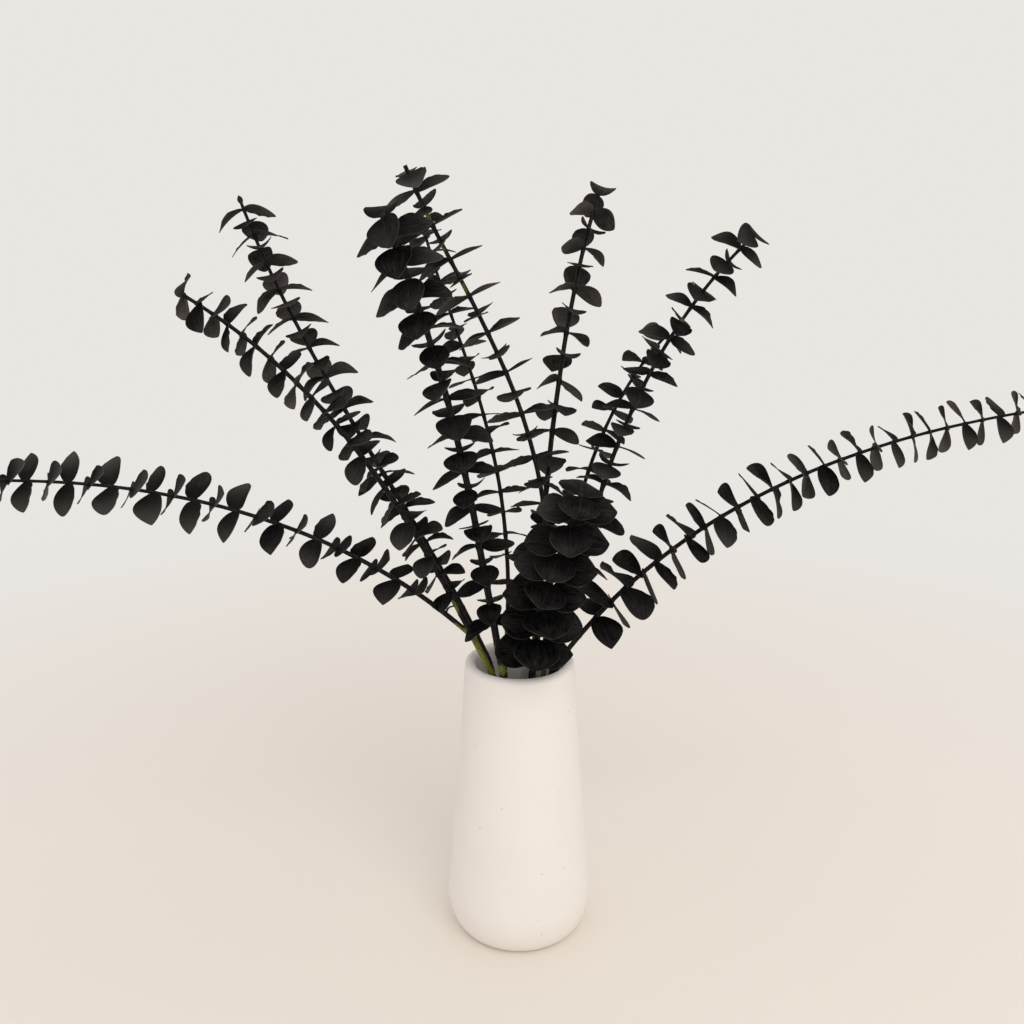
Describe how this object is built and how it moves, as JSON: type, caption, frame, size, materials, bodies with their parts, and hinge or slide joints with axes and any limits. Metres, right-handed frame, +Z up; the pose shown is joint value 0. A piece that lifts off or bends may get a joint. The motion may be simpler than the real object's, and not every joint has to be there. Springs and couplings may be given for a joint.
{
  "type": "preserved eucalyptus arrangement in a vase",
  "caption": "Charcoal-dyed preserved baby eucalyptus stems with paired rounded leaves, fanned out of a tall tapering matte ceramic vase.",
  "frame": {"origin": "middle of the vase's flat underside", "axes": "+Z up, +X to the right along the widest spread of the sprays, +Y to the back"},
  "size_m": [0.648, 0.2714, 0.5291],
  "materials": {
    "vase": "matte unglazed, warm off-white",
    "stem": "dyed near-black, dull sheen, a few undyed green patches",
    "leaf": "dyed charcoal, matte, leathery"
  },
  "bodies": {
    "root": {"vase": "vase", "stem_left_forked": "stem", "stem_left_back": "stem", "stem_centre_front": "stem", "stem_centre_back": "stem", "stem_centre_tall": "stem", "stem_upright": "stem", "stem_right_front": "stem", "stem_right_back": "stem", "stem_right_low": "stem", "stem_front": "stem", "leaf_pair_left_forked_1": "leaf", "leaf_pair_left_forked_2": "leaf", "leaf_pair_left_forked_3": "leaf", "leaf_pair_left_forked_4": "leaf", "leaf_pair_left_forked_branch_1": "leaf", "leaf_pair_left_forked_branch_2": "leaf", "leaf_pair_left_forked_branch_3": "leaf", "leaf_pair_left_forked_branch_4": "leaf", "leaf_pair_left_back_1": "leaf", "leaf_pair_left_back_2": "leaf", "leaf_pair_left_back_3": "leaf", "leaf_pair_left_back_4": "leaf", "leaf_pair_centre_front_1": "leaf", "leaf_pair_centre_front_2": "leaf", "leaf_pair_centre_front_3": "leaf", "leaf_pair_centre_front_4": "leaf", "leaf_pair_centre_back_1": "leaf", "leaf_pair_centre_back_2": "leaf", "leaf_pair_centre_back_3": "leaf", "leaf_pair_centre_back_4": "leaf", "leaf_pair_centre_tall_1": "leaf", "leaf_pair_centre_tall_2": "leaf", "leaf_pair_centre_tall_3": "leaf", "leaf_pair_centre_tall_4": "leaf", "leaf_pair_upright_1": "leaf", "leaf_pair_upright_2": "leaf", "leaf_pair_upright_3": "leaf", "leaf_pair_upright_4": "leaf", "leaf_pair_right_front_1": "leaf", "leaf_pair_right_front_2": "leaf", "leaf_pair_right_front_3": "leaf", "leaf_pair_right_front_4": "leaf", "leaf_pair_right_back_1": "leaf", "leaf_pair_right_back_2": "leaf", "leaf_pair_right_back_3": "leaf", "leaf_pair_right_back_4": "leaf", "leaf_pair_right_low_1": "leaf", "leaf_pair_right_low_2": "leaf", "leaf_pair_right_low_3": "leaf", "leaf_pair_right_low_4": "leaf", "leaf_pair_front_1": "leaf", "leaf_pair_front_2": "leaf", "leaf_pair_front_3": "leaf", "leaf_pair_front_4": "leaf"}
  },
  "joints": []
}
